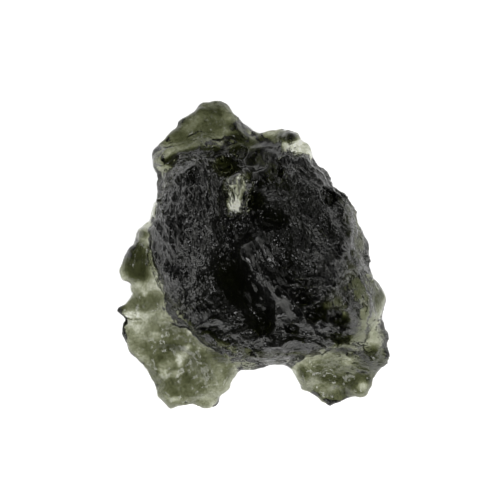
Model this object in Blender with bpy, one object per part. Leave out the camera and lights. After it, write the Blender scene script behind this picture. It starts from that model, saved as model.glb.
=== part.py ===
"""A moldavite: one piece of natural green glass, lying on its back with its domed face up.

The stone is one solid. Its outline is a ragged plate with two lobes below and an arch between them,
one lobe at the top left and thin lobes along both sides. The thick middle stands on that plate: a
long dome on the left, a slanting ridge on the right, and between them a saddle, a dark hollow and a
deep groove under a thin crest. The back bulges down to a small flat spot at the height of zero.

X runs to the right and Y up the stone as it is looked at from above, and +Z points up from the
surface that it rests on. The origin is below the middle of the outline.
"""

import math

import bpy
import numpy as np
from mathutils import Matrix, Vector, noise

MM = 0.001

# Driving dimensions, in millimetres
LENGTH = 28.0
HUB = (0.1, -1.4)
EDGE_ROUNDING = 1.0
BELLY = (0.4, 1.2, 9.6, 11.2, 3.8)
FLAT_SPOT_DEPTH = 0.75
FLAT_SPOT_SLACK = 0.06

# How finely the form is worked out, and how it is thinned afterwards
SPOKES = 480
RINGS = 110
VOXEL = 0.26
TRIANGLES = 9600

# The outline, clockwise from the tip of the top lobe: x, y
OUTLINE = [
    (-3.2, 14.0), (-2.0, 13.3), (-1.6, 12.7), (-1.0, 12.1), (-0.4, 11.5), (0.3, 11.2),
    (1.9, 11.2), (3.1, 11.3), (3.9, 10.9), (4.1, 10.2), (4.8, 9.9), (5.2, 9.0),
    (5.5, 8.3), (6.4, 7.6), (6.9, 6.8), (7.5, 6.0), (8.4, 5.3), (8.8, 4.9),
    (9.2, 4.1), (9.2, 3.1), (9.6, 2.2), (10.3, 0.9), (10.6, 0.0), (10.4, -0.6),
    (10.5, -1.5), (11.1, -2.4), (11.5, -3.1), (11.6, -4.2), (11.6, -5.6), (11.9, -6.5),
    (12.1, -7.3), (11.7, -7.9), (12.25, -8.6), (12.2, -9.0), (11.5, -10.0), (10.5, -11.3),
    (9.9, -12.6), (9.3, -12.8), (8.1, -13.0), (6.8, -13.9), (6.1, -13.3), (5.1, -12.3),
    (4.1, -11.5), (3.8, -10.8), (3.1, -10.3), (1.8, -9.7), (0.9, -9.7), (-0.1, -9.7),
    (-0.9, -9.9), (-2.0, -11.1), (-2.3, -11.8), (-2.7, -13.3), (-3.5, -13.6), (-4.3, -14.0),
    (-4.9, -13.9), (-5.4, -13.4), (-6.0, -13.3), (-7.4, -13.6), (-8.6, -12.3), (-8.5, -11.6),
    (-9.2, -11.1), (-9.5, -10.4), (-10.4, -9.4), (-11.2, -8.5), (-11.9, -6.9), (-12.0, -5.9),
    (-11.8, -5.5), (-12.3, -5.0), (-12.35, -4.5), (-11.9, -3.9), (-11.2, -3.2), (-11.2, -2.5),
    (-11.8, -2.1), (-12.0, -1.4), (-11.8, -0.7), (-11.2, 0.8), (-10.2, 2.5), (-9.2, 3.0),
    (-9.1, 4.0), (-8.8, 5.6), (-9.2, 6.2), (-9.2, 6.7), (-8.8, 7.2), (-9.1, 8.7),
    (-9.1, 9.4), (-8.6, 10.2), (-7.7, 11.3), (-7.0, 11.7), (-6.8, 12.3), (-5.7, 12.6),
    (-5.1, 13.0), (-4.9, 13.5),
]

# The plate at the rim: x, y, height of its middle, half its thickness
PLATE = {
    "top lobe tip": (-3.2, 13.5, 2.6, 1.0),
    "top lobe left": (-7.6, 10.0, 2.8, 0.9),
    "top lobe right": (-0.6, 10.8, 3.0, 1.1),
    "pale edge by the knob": (1.6, 10.9, 3.6, 0.5),
    "knob": (3.5, 10.5, 4.4, 1.6),
    "clear cap": (4.3, 9.4, 6.0, 0.7),
    "upper right rim": (7.2, 5.9, 5.8, 1.3),
    "right rim": (9.6, 1.6, 5.0, 1.3),
    "lower right rim": (11.4, -3.6, 4.5, 1.2),
    "right corner": (12.0, -8.4, 4.2, 1.3),
    "lower right lobe": (9.4, -12.0, 3.0, 0.9),
    "lower right tip": (6.8, -13.4, 2.6, 0.9),
    "inner right lobe": (4.4, -10.9, 3.1, 1.1),
    "top of the arch": (0.7, -9.8, 4.0, 2.3),
    "inner left lobe": (-1.8, -10.6, 3.2, 1.1),
    "lower left tip": (-4.4, -13.7, 2.6, 0.9),
    "lower left lobe": (-8.2, -12.2, 2.7, 0.85),
    "left lobe": (-11.2, -7.6, 3.0, 0.85),
    "pale band": (-11.2, -5.6, 3.2, 0.5),
    "left knob": (-12.0, -4.7, 3.4, 1.1),
    "upper left lobe": (-11.5, -1.4, 3.7, 1.4),
    "left shoulder": (-10.0, 2.4, 4.0, 1.7),
    "left wall": (-9.0, 4.9, 4.4, 2.4),
    "pale spot on the left": (-9.1, 6.6, 4.3, 0.8),
    "upper left wall": (-8.9, 8.6, 3.9, 1.7),
}

# The thick middle: x, y, half width, half length, turn in degrees, height of its top, steepness
MOUNDS = {
    "left dome": (-5.5, 2.4, 3.5, 7.2, -5, 10.8, 0.55),
    "right ridge": (6.2, 0.2, 3.7, 9.4, 17, 9.9, 0.60),
    "right peak": (4.3, 6.3, 1.8, 2.6, 12, 9.0, 0.50),
    "lower slope": (1.6, -4.7, 8.0, 4.6, -4, 8.8, 0.70),
    "middle": (0.6, 1.6, 5.0, 4.6, 20, 8.6, 0.60),
    "saddle": (1.2, 6.9, 3.4, 3.2, 0, 6.0, 0.80),
    "flap": (-1.6, 5.5, 1.2, 2.3, -8, 8.9, 0.35),
}
MOUND_BLEND = 0.45

# Sharp crests on the face: height, width of the left side, width of the right side, points x, y
CRESTS = {
    "fin": (
        1.5, 1.7, 0.6,
        [(-1.7, 1.6), (-1.0, 0.4), (-0.4, -0.7), (0.4, -1.8), (1.3, -2.6), (1.9, -3.5), (2.1, -4.3)],
    ),
    "great diagonal": (
        1.1, 0.8, 0.7,
        [(1.8, -2.2), (2.7, -3.4), (3.3, -4.6), (4.2, -5.7), (5.5, -7.0)],
    ),
    "branch of the diagonal": (0.6, 0.5, 0.5, [(3.6, -5.0), (4.8, -4.4), (6.2, -3.8), (7.4, -3.2)]),
    "brow": (0.8, 0.8, 0.5, [(-8.7, 8.3), (-7.4, 9.3), (-5.4, 10.1), (-3.8, 9.7), (-2.2, 9.6), (-0.4, 9.4)]),
    "inner brow": (
        0.8, 0.6, 0.5,
        [(-7.9, 6.6), (-6.6, 7.5), (-4.9, 8.1), (-3.4, 8.6), (-2.0, 8.9), (-1.0, 8.1)],
    ),
    "crown flute": (0.4, 0.5, 0.5, [(-6.4, 7.4), (-6.0, 5.9), (-5.9, 4.2)]),
    "left shoulder": (0.5, 0.5, 0.5, [(-8.5, 5.4), (-8.0, 3.9), (-7.6, 2.2), (-7.5, 0.4)]),
    "foot of the left flank": (0.7, 0.5, 0.5, [(-9.0, 1.4), (-8.7, -0.3), (-7.8, -1.4), (-7.0, -1.6)]),
    "fang": (1.5, 0.6, 0.6, [(-6.9, -1.3), (-6.9, -2.6), (-6.9, -4.0), (-6.9, -5.3)]),
    "rim of the flap": (
        0.7, 0.5, 0.35,
        [(-1.4, 7.6), (-0.4, 7.2), (-0.3, 6.2), (-0.9, 5.1), (-0.9, 4.2), (-0.2, 3.7), (0.7, 3.5)],
    ),
    "backbone of the right": (
        1.0, 0.8, 0.8,
        [(4.9, 6.6), (5.8, 5.2), (6.4, 3.7), (7.2, 2.2), (8.0, 0.9), (8.6, -0.4), (9.2, -2.0)],
    ),
    "rim rib": (0.7, 0.6, 0.6, [(7.0, 6.2), (8.1, 4.9), (8.0, 3.4), (8.3, 1.8), (9.3, -0.2)]),
    "long rim rib": (0.9, 0.7, 0.7, [(9.2, -1.6), (9.9, -3.2), (10.2, -4.8), (9.9, -6.6)]),
    "inner rib": (
        0.9, 0.7, 0.8,
        [(3.7, 4.3), (4.6, 2.9), (6.0, 1.7), (7.1, 0.2), (7.0, -1.4), (7.2, -2.9), (8.2, -4.6), (9.2, -5.8)],
    ),
    "step on the slope": (0.5, 0.5, 0.4, [(2.4, -1.3), (3.8, -1.5), (5.3, -2.1), (6.9, -2.5)]),
    "edge of the saddle": (0.6, 0.4, 0.5, [(2.8, 9.0), (2.6, 8.0), (2.9, 7.1), (2.5, 5.8)]),
    "left end of the ledges": (0.7, 0.6, 0.5, [(-7.2, -5.5), (-5.8, -5.9), (-4.9, -6.6)]),
    "top ledge": (0.6, 0.5, 0.5, [(-5.0, -6.5), (-3.6, -5.8), (-1.9, -6.3)]),
    "big scallop": (0.7, 0.6, 0.4, [(-3.2, -7.6), (-1.8, -6.9), (-0.4, -7.7), (0.5, -7.4), (1.5, -7.9)]),
    "lowest ledge": (0.6, 0.5, 0.6, [(-4.9, -7.0), (-3.4, -7.5), (-2.2, -8.2), (-1.1, -8.9)]),
    "long ledge": (
        0.7, 0.7, 0.6,
        [(0.7, -8.2), (2.4, -8.1), (4.0, -7.6), (5.9, -8.0), (8.2, -8.0), (9.9, -8.6), (11.0, -9.1)],
    ),
    "ledge of the oval pit": (0.5, 0.5, 0.4, [(2.7, -6.4), (3.6, -5.9), (5.2, -6.2), (6.8, -6.1), (8.6, -7.0)]),
    "corner rib": (0.5, 0.5, 0.5, [(11.0, -5.6), (11.0, -7.4), (11.4, -8.7)]),
}

# Grooves in the face: depth, half width, points x, y
GROOVES = {
    "deep groove": (2.2, 0.9, [(-2.9, 0.3), (-2.0, -1.6), (-0.8, -3.7), (0.4, -5.5), (1.2, -6.8)]),
    "foot of the left dome": (0.9, 0.8, [(-9.6, 1.4), (-9.3, -0.6), (-8.6, -2.6)]),
    "crack in the left lobe": (0.7, 0.35, [(-12.0, -5.7), (-10.8, -5.8), (-9.6, -6.0)]),
    "under the brow": (0.7, 0.5, [(-7.9, 7.7), (-6.3, 8.4), (-4.6, 8.9), (-3.0, 9.3)]),
    "edge of the top lobe": (0.6, 0.5, [(-8.4, 9.3), (-6.4, 10.4), (-4.3, 10.8), (-1.9, 10.6)]),
}

# Hollows in the face: x, y, half width, half length, turn in degrees, depth
FACE_HOLLOWS = {
    "dark hollow": (1.4, 3.3, 1.5, 1.1, -20, 2.3),
    "round hole": (0.0, 4.7, 0.9, 0.9, 0, 2.2),
    "bowl of the left dome": (-5.2, -3.0, 2.1, 1.8, -10, 0.6),
    "cave by the flap": (-2.9, 8.0, 0.8, 0.6, 30, 0.9),
    "hole beside the saddle": (2.2, 7.1, 0.5, 0.5, 0, 0.7),
    "pocket on the ridge": (6.7, 5.1, 0.8, 1.2, 30, 0.9),
    "cell on the crown": (-7.4, 5.9, 0.8, 0.7, 0, 0.4),
    "cell below the ridge": (5.9, -0.4, 1.2, 1.2, 30, 0.4),
    "cell by the fin": (2.5, -0.2, 0.8, 1.3, 30, 0.4),
    "cell of the branch": (5.4, -4.9, 0.7, 0.5, 110, 0.7),
    "great dark cell": (7.6, -5.6, 0.8, 0.9, 20, 0.7),
    "pocket by the rim": (9.5, -4.7, 0.6, 0.9, 0, 0.6),
    "oval pit": (7.7, -7.4, 0.8, 0.5, 0, 0.8),
    "cup by the diagonal": (3.4, -6.7, 0.7, 0.5, 0, 0.6),
    "cup under the top ledge": (-3.6, -6.7, 1.0, 0.5, -10, 0.6),
    "cut above the arch": (-0.2, -8.5, 0.35, 0.9, 52, 0.5),
    "ring pit": (8.6, -9.1, 0.5, 0.5, 0, 0.4),
}

# Hollows in the back: x, y, half width, half length, turn in degrees, depth
BACK_HOLLOWS = {
    "under the top lobe": (-4.2, 9.4, 2.4, 1.8, 20, 0.9),
    "under the left dome": (-6.6, 1.0, 1.8, 2.8, 15, 1.1),
    "under the saddle": (1.6, 8.2, 2.0, 1.6, 0, 0.8),
    "under the ridge": (6.4, 2.6, 1.8, 2.6, -20, 1.1),
    "under the right rim": (9.0, -3.6, 1.5, 2.2, 10, 0.9),
    "under the lower slope": (4.6, -6.9, 2.6, 1.6, -10, 1.0),
    "under the left corner": (-6.2, -6.6, 2.4, 1.6, 25, 0.9),
}

# Spots where a pit in the back nearly meets the face: x, y, half width, half length, turn, glass left
THIN_SPOTS = {
    "under the flap": (-1.3, 5.4, 1.7, 2.6, -8, 1.0),
    "clear cap": (4.0, 9.4, 1.6, 1.1, 0, 0.8),
    "lower lobe, inner": (-6.6, -9.6, 1.6, 2.0, 10, 0.8),
    "lower lobe, outer": (-8.0, -10.6, 1.5, 1.4, 30, 1.1),
    "left lobe, bend": (-10.1, -3.0, 1.4, 1.0, -20, 1.0),
    "pale band": (-10.9, -5.7, 1.7, 1.1, -10, 0.8),
    "right lobe, root": (8.7, -9.6, 1.5, 1.1, 0, 1.0),
    "right lobe, edge": (9.8, -11.8, 1.1, 1.1, 0, 0.9),
    "left wall": (-8.3, 3.8, 0.9, 1.5, 0, 1.6),
    "left edge": (-9.0, 6.5, 0.7, 0.9, 0, 0.8),
}

# Unevenness that runs over the whole skin: wavelength, depth
SKIN = [(4.2, 0.45), (1.8, 0.25)]
SKIN_SEED = (13.0, 4.0, 7.0)

# Shallow cups that crowd the skin and meet in ridges: their spacing, depth and width in spacings
CUPS = (2.3, 0.42, 0.62)


def turned(x, y, centre_x, centre_y, degrees):
    """x and y as seen from a centre, across and along a line that leans left by an angle."""
    angle = math.radians(degrees)
    dx = x - centre_x
    dy = y - centre_y
    across = dx * math.cos(angle) + dy * math.sin(angle)
    along = dy * math.cos(angle) - dx * math.sin(angle)
    return across, along


def oval(x, y, centre_x, centre_y, half_width, half_length, degrees):
    """The square of the distance from an oval's centre: 0 there, 1 on its rim and 1 outside."""
    across, along = turned(x, y, centre_x, centre_y, degrees)
    return np.minimum(1.0, (across / half_width) ** 2 + (along / half_length) ** 2)


def beside(x, y, points):
    """Distance to a line through the points, its side (1 is right) and how full the line is there."""
    nearest = np.full(x.shape, np.inf)
    side = np.zeros(x.shape)
    fullness = np.ones(x.shape)
    for i, ((ax, ay), (bx, by)) in enumerate(zip(points, points[1:])):
        dx, dy = bx - ax, by - ay
        length = math.hypot(dx, dy)
        share = np.clip(((x - ax) * dx + (y - ay) * dy) / length**2, 0.0, 1.0)
        distance = np.hypot(x - ax - share * dx, y - ay - share * dy)
        across = ((x - ax) * dy - (y - ay) * dx) / length
        closer = distance < nearest
        nearest = np.where(closer, distance, nearest)
        side = np.where(closer, across / np.maximum(distance, 1e-6), side)
        along = (i + share) / (len(points) - 1)
        fullness = np.where(closer, np.minimum(1.0, 6.0 * along * (1.0 - along) + 0.25), fullness)
    return nearest, side, fullness


def rim_distance(x, y):
    """How far inside the outline a place lies."""
    corners = OUTLINE + OUTLINE[:1]
    distance, _, _ = beside(x, y, corners)
    return distance


def outline_radius(angles):
    """How far the outline is from the hub, in each direction."""
    spots = []
    for (ax, ay), (bx, by) in zip(OUTLINE, OUTLINE[1:] + OUTLINE[:1]):
        for share in (0.0, 0.25, 0.5, 0.75):
            x = ax + share * (bx - ax) - HUB[0]
            y = ay + share * (by - ay) - HUB[1]
            spots.append((math.atan2(y, x), math.hypot(x, y)))
    spots.sort()
    directions = np.array([spot[0] for spot in spots])
    radii = np.array([spot[1] for spot in spots])
    return np.interp(angles, directions, radii, period=2 * math.pi)


def plate(x, y):
    """Height of the middle of the plate and half its thickness, blended from the nearest rim spots."""
    total = np.zeros(x.shape)
    middle = np.zeros(x.shape)
    half = np.zeros(x.shape)
    for spot_x, spot_y, height, thickness in PLATE.values():
        weight = 1.0 / (0.3 + (x - spot_x) ** 2 + (y - spot_y) ** 2) ** 1.5
        total += weight
        middle += weight * height
        half += weight * thickness
    return middle / total, half / total


def face_height(x, y, middle, half, inside):
    """Height of the face: the plate's upper side with the mounds, crests, grooves and hollows."""
    upper = middle + half * inside
    heights = [np.exp(upper / MOUND_BLEND)]
    for centre_x, centre_y, half_width, half_length, degrees, top, steepness in MOUNDS.values():
        rise = (1.0 - oval(x, y, centre_x, centre_y, half_width, half_length, degrees)) ** steepness
        heights.append(np.exp((upper + (top - upper) * rise) / MOUND_BLEND) * (rise > 0))
    height = MOUND_BLEND * np.log(sum(heights))
    raised = np.zeros(x.shape)
    for crest_height, left, right, points in CRESTS.values():
        distance, side, fullness = beside(x, y, points)
        width = left + (right - left) * (0.5 + 0.5 * side)
        raised = np.maximum(raised, crest_height * fullness * np.exp(-distance / width))
    lowered = np.zeros(x.shape)
    for depth, half_width, points in GROOVES.values():
        distance, _, fullness = beside(x, y, points)
        lowered += depth * fullness * np.exp(-((distance / half_width) ** 2))
    for centre_x, centre_y, half_width, half_length, degrees, depth in FACE_HOLLOWS.values():
        deep = 1.0 - oval(x, y, centre_x, centre_y, half_width, half_length, degrees)
        lowered += depth * deep**0.8
    room = np.clip(inside, 0.0, 1.0)
    return height + (raised - lowered) * room


def back_height(x, y, middle, half, inside, face):
    """Height of the back: the plate's lower side with the belly, its hollows and the thin spots."""
    lower = middle - half * inside
    belly_x, belly_y, half_width, half_length, depth = BELLY
    fullness = 1.0 - oval(x, y, belly_x, belly_y, half_width, half_length, 0)
    height = lower - depth * fullness**0.9 * inside
    for centre_x, centre_y, half_width, half_length, degrees, depth in BACK_HOLLOWS.values():
        deep = 1.0 - oval(x, y, centre_x, centre_y, half_width, half_length, degrees)
        height += depth * deep**0.8 * inside
    height = np.minimum(height, face - 1.2 * inside)
    for centre_x, centre_y, half_width, half_length, degrees, left in THIN_SPOTS.values():
        share = 1.0 - oval(x, y, centre_x, centre_y, half_width, half_length, degrees)
        share *= share * (3.0 - 2.0 * share)
        height += share * np.maximum(0.0, face - height - left) * inside
    return height


def shell():
    """A closed mesh of the form: rings of points on the face and on the back that meet at the rim."""
    angles = np.linspace(-math.pi, math.pi, SPOKES, endpoint=False)
    radii = outline_radius(angles)
    shares = np.sin(np.linspace(0.0, math.pi / 2, RINGS + 1)[1:])
    x = HUB[0] + np.outer(shares, radii * np.cos(angles))
    y = HUB[1] + np.outer(shares, radii * np.sin(angles))
    x, y = (np.append(HUB[i], grid.ravel()) for i, grid in enumerate((x, y)))
    middle, half = plate(x, y)
    within = np.clip(rim_distance(x, y) / EDGE_ROUNDING, 0.0, 1.0)
    inside = np.sqrt(1.0 - (1.0 - within) ** 2)
    face = face_height(x, y, middle, half, inside)
    back = back_height(x, y, middle, half, inside, face)

    upper = np.column_stack((x, y, face)) * MM
    lower = np.column_stack((x, y, back)) * MM
    rim_start = 1 + (RINGS - 1) * SPOKES
    points = np.vstack((upper, lower[:rim_start]))

    def spot(ring, spoke, below):
        if ring == 0:
            return len(upper) if below else 0
        index = 1 + (ring - 1) * SPOKES + spoke % SPOKES
        return index + len(upper) if below and ring < RINGS else index

    faces = []
    for below in (False, True):
        for ring in range(RINGS):
            for spoke in range(SPOKES):
                corners = [
                    spot(ring, spoke, below),
                    spot(ring + 1, spoke, below),
                    spot(ring + 1, spoke + 1, below),
                    spot(ring, spoke + 1, below),
                ]
                if ring == 0:
                    corners.pop()
                faces.append(corners[::-1] if below else corners)
    mesh = bpy.data.meshes.new("shell")
    mesh.from_pydata(points.tolist(), [], faces)
    mesh.update()
    return mesh


def evaluated_mesh(mesh, name, add_modifiers):
    """The mesh as its modifiers leave it."""
    holder = bpy.data.objects.new(name, mesh)
    bpy.context.scene.collection.objects.link(holder)
    add_modifiers(holder)
    graph = bpy.context.evaluated_depsgraph_get()
    result = bpy.data.meshes.new_from_object(holder.evaluated_get(graph))
    bpy.data.objects.remove(holder)
    return result


def even_out(holder):
    """Rebuilds the shell with faces of one size."""
    remesh = holder.modifiers.new("even faces", "REMESH")
    remesh.mode = "VOXEL"
    remesh.voxel_size = VOXEL * MM
    smooth = holder.modifiers.new("smooth", "SMOOTH")
    smooth.factor = 0.4
    smooth.iterations = 2


def roughen(mesh):
    """Moves the skin in and out along its normals, and cuts the lowest bulge off level."""
    seed = Vector(SKIN_SEED)
    spacing, cup_depth, cup_width = CUPS
    normals = [vertex.normal.copy() for vertex in mesh.vertices]
    for vertex, normal in zip(mesh.vertices, normals):
        place = vertex.co / MM
        push = sum(depth * noise.noise(place / wave + seed) for wave, depth in SKIN)
        to_middle = noise.voronoi(place / spacing + seed)[0][0]
        push -= cup_depth * max(0.0, 1.0 - (to_middle / cup_width) ** 2)
        vertex.co += normal * push * MM
    level = min(vertex.co.z for vertex in mesh.vertices) + FLAT_SPOT_DEPTH * MM
    for vertex in mesh.vertices:
        vertex.co.z = max(vertex.co.z, level)
    mesh.update()


def thin_out(holder):
    """Leaves only the triangles that the form needs."""
    mesh = holder.data
    triangles = sum(len(polygon.vertices) - 2 for polygon in mesh.polygons)
    decimate = holder.modifiers.new("fewer faces", "DECIMATE")
    decimate.ratio = TRIANGLES / triangles


def set_down(mesh):
    """Gives the stone its length, puts it on the origin and makes its flat spot exactly flat."""
    places = np.array([vertex.co for vertex in mesh.vertices])
    low, high = places.min(axis=0), places.max(axis=0)
    start = Vector(((low[0] + high[0]) / 2, (low[1] + high[1]) / 2, low[2] + FLAT_SPOT_SLACK * MM))
    mesh.transform(Matrix.Scale(LENGTH * MM / (high[1] - low[1]), 4) @ Matrix.Translation(-start))
    for vertex in mesh.vertices:
        if vertex.co.z < FLAT_SPOT_SLACK * MM:
            vertex.co.z = 0.0
    mesh.update()


def green_glass():
    """Dark bottle-green glass with a satin skin."""
    material = bpy.data.materials.new("green_glass")
    material.use_nodes = True
    shader = material.node_tree.nodes["Principled BSDF"]
    shader.inputs["Base Color"].default_value = (0.07, 0.085, 0.05, 1.0)
    shader.inputs["Roughness"].default_value = 0.35
    shader.inputs["Metallic"].default_value = 0.0
    shader.inputs["IOR"].default_value = 1.49
    return material


def main():
    for leftover in list(bpy.data.objects):
        bpy.data.objects.remove(leftover)
    mesh = evaluated_mesh(shell(), "even", even_out)
    roughen(mesh)
    mesh = evaluated_mesh(mesh, "thinned", thin_out)
    set_down(mesh)
    mesh.name = "moldavite"
    mesh.materials.clear()
    mesh.materials.append(green_glass())
    stone = bpy.data.objects.new("moldavite", mesh)
    bpy.context.scene.collection.objects.link(stone)


main()
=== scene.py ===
"""A moldavite, a rough piece of natural green glass, lying on a white table under soft light."""

import math

import bmesh
import bpy
import numpy as np
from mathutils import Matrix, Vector
from mathutils.bvhtree import BVHTree


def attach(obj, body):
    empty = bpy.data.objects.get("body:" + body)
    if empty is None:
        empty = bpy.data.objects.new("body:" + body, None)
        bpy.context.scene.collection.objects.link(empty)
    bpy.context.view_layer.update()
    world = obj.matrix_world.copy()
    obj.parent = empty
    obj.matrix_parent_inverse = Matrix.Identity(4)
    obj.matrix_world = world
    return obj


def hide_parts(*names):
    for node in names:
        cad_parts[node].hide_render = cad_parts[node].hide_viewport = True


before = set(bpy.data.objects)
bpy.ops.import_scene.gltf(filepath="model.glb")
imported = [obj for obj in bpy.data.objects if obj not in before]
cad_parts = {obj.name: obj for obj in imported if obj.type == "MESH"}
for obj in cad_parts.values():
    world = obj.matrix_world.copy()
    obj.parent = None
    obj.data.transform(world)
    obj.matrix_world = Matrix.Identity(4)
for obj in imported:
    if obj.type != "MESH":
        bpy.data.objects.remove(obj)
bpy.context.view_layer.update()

# Every length below is in mm; Blender's own unit is the metre
MM = 0.001

# The skin: points closer than the first length become one point
WELD_DISTANCE = 0.002
FINE_VOXEL = 0.085
MOST_TRIANGLES = 196000

# Rounds of smoothing for the whole skin, then for the underside alone, before and after it is hollowed
SKIN_ROUNDS = 16
UNDERSIDE_ROUNDS = 160
HOLLOW_ROUNDS = 40

# How much the skin faces up (1 is level), from nothing to full: for the carving, as underside, for the relief
CARVED_SLOPES = (0.0, 0.35)
UNDERSIDE_SLOPES = (-0.2, 0.1)
RELIEF_SLOPES = (-0.35, 0.15)

# Walls steeper than this are neither face nor underside when the glass is measured
LEAST_SLOPE = 0.05
RAY_START = 0.02

# How fast light fades in the glass, per mm, and the rate that the depth look is read by
ABSORPTION = 0.5
LOOK_ABSORPTION = 1.36
GLASS_COLOUR = (0.35, 0.37, 0.2, 1.0)
GLASS_DENSITY = 780.0

# The tint of the skin, which makes up the rest of the depth look
TINT_POWER = 2.0
TINT_HUE = {"Red": 1.0, "Green": 0.97, "Blue": 1.25}
DARKEST_TINT = 0.03

# Clouds in the tint and in the satin of the skin: scale, detail, lowest and highest value
TINT_CLOUDS = (0.9, 4.0, 0.72, 1.35)
TINT_STREAKS = (4.0, 2.0, 0.8, 1.25)
SATIN_CLOUDS = (0.9, 3.0, 0.1, 0.22)

# Crests reach this many widths to each side and swell from this share at their ends
CREST_REACH = 3.0
CREST_SWELLING = 6.0
CREST_END = 0.25

# Soft borders of the ovals below, as a share of their size
HOLLOW_BORDER = 0.4
GRAINY_BORDER = 0.5
REGION_BORDER = 0.25
GLASS_BORDER = 0.8
BODY_BORDER = 0.12
LOOK_BORDER = 0.55

# How far round an oval the back is hollowed, in half lengths
GLASS_REACH = 1.9

# How much of its own thickness the glass may gain at most, in the lobes and in the thin places
LOBE_THICKENING = 0.3
THIN_THICKENING = 3.0

# The two swells, each with its own relief: x, y, half width, half length, turn in degrees
DOME = (-5.3, 1.4, 4.0, 8.0, -5)
RIDGE = (6.0, 1.2, 4.6, 9.2, 17)

# The lower band: where it fades in below the swells, out above the lobes, and in from the left
BAND_TOP = (4.6, 6.0)
BAND_FOOT = (9.6, 11.0)
BAND_LEFT = (-5.5, -3.5)

# Relief by region: turn about Z in degrees, cup size x y z, cup depth, tip; flute size, flute depth;
# small cup size, small cup depth; height of the soft swell
RELIEF = {
    "dome": (-12, (0.9, 1.3, 1.0), 0.27, 0.0, (0.28, 1.8, 0.8), 0.09, (0.42, 0.5, 0.45), 0.17, 0.3),
    "ridge": (-28, (0.9, 1.5, 1.0), 0.3, 0.0, (0.30, 2.2, 0.8), 0.1, (0.42, 0.6, 0.45), 0.17, 0.3),
    "band": (4, (1.7, 0.7, 1.2), 0.2, 0.3, (1.6, 0.3, 0.8), 0.05, (0.7, 0.4, 0.5), 0.05, 0.2),
    "lobes": (-20, (1.5, 1.3, 1.2), 0.05, 0.0, (0.9, 1.4, 1.0), 0.02, (0.6, 0.6, 0.6), 0.03, 0.5),
    "back": (0, (1.7, 1.5, 1.4), 0.08, 0.0, (0.5, 1.4, 0.8), 0.02, (0.7, 0.7, 0.7), 0.03, 0.5),
}
SWELL_SIZE = 1.4
CUP_MEAN = 0.3

# Flutes: height over the middle line and how fast they fall away
FLUTE_SHAPE = (0.6, 6.0)
FINE_FLUTE_SHAPE = (1.0, 5.0)

# The slow noise that bends cups and flutes, and how far it moves them
WANDER_SCALE = 0.45
WANDER_REACH = 1.6
FINE_WANDER_SCALE = 0.7
FINE_WANDER_REACH = 1.2

# Grit: its depth, and how much deeper it gets in the rough patches
GRIT_SCALE = 2.6
GRIT_DEPTH = 0.12
MORE_GRIT = 1.5

# Fine flutes in the skin by region: turn about Z in degrees, flute size x y z, depth
FINE_RELIEF = {
    "dome": (18, (0.4, 2.4, 1.0), 0.045),
    "ridge": (28, (0.4, 2.4, 1.0), 0.045),
    "band": (4, (2.0, 0.4, 1.0), 0.045),
    "lobes": (20, (0.9, 1.2, 1.0), 0.015),
    "back": (0, (0.9, 1.2, 1.0), 0.015),
}

# Etching all over the skin, and pits in the rough patches
ETCH_SCALE = 5.0
ETCH_DEPTH = 0.008
PIT_SCALE = 3.4
PIT_DEPTH = 0.08

# Soft lamps: name, bearing and height in degrees, watts
SOFT_BOXES = [
    ("lamp at front right", -40, 52, 0.031),
    ("lamp at front left", -140, 48, 0.021),
    ("lamp at back right", 60, 55, 0.006),
    ("lamp at back left", 150, 50, 0.003),
]
BOX_SIZE = 45.0
BOX_DISTANCE = 130.0

# The room: its colour from the horizon up, its strength, and how much brighter two sides are
ROOM_COLOURS = [
    (0.0, (0.9, 0.9, 0.86, 1.0)),
    (0.3, (0.5, 0.5, 0.48, 1.0)),
    (0.62, (0.07, 0.07, 0.065, 1.0)),
    (0.95, (0.016, 0.016, 0.015, 1.0)),
]
ROOM_STRENGTH = 2.25
MORE_FROM_RIGHT = 0.8
MORE_FROM_FRONT = 1.4

# The table, a hair below the stone
TABLE_HALF = 1500.0
TABLE_GAP = 0.02

# Camera
PICTURE_WIDTH = 44.87
PICTURE_MIDDLE = (-0.33, 0.40)
CAMERA_HEIGHT = 405.0
STONE_MIDDLE = 5.0
SENSOR = 36.0

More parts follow.
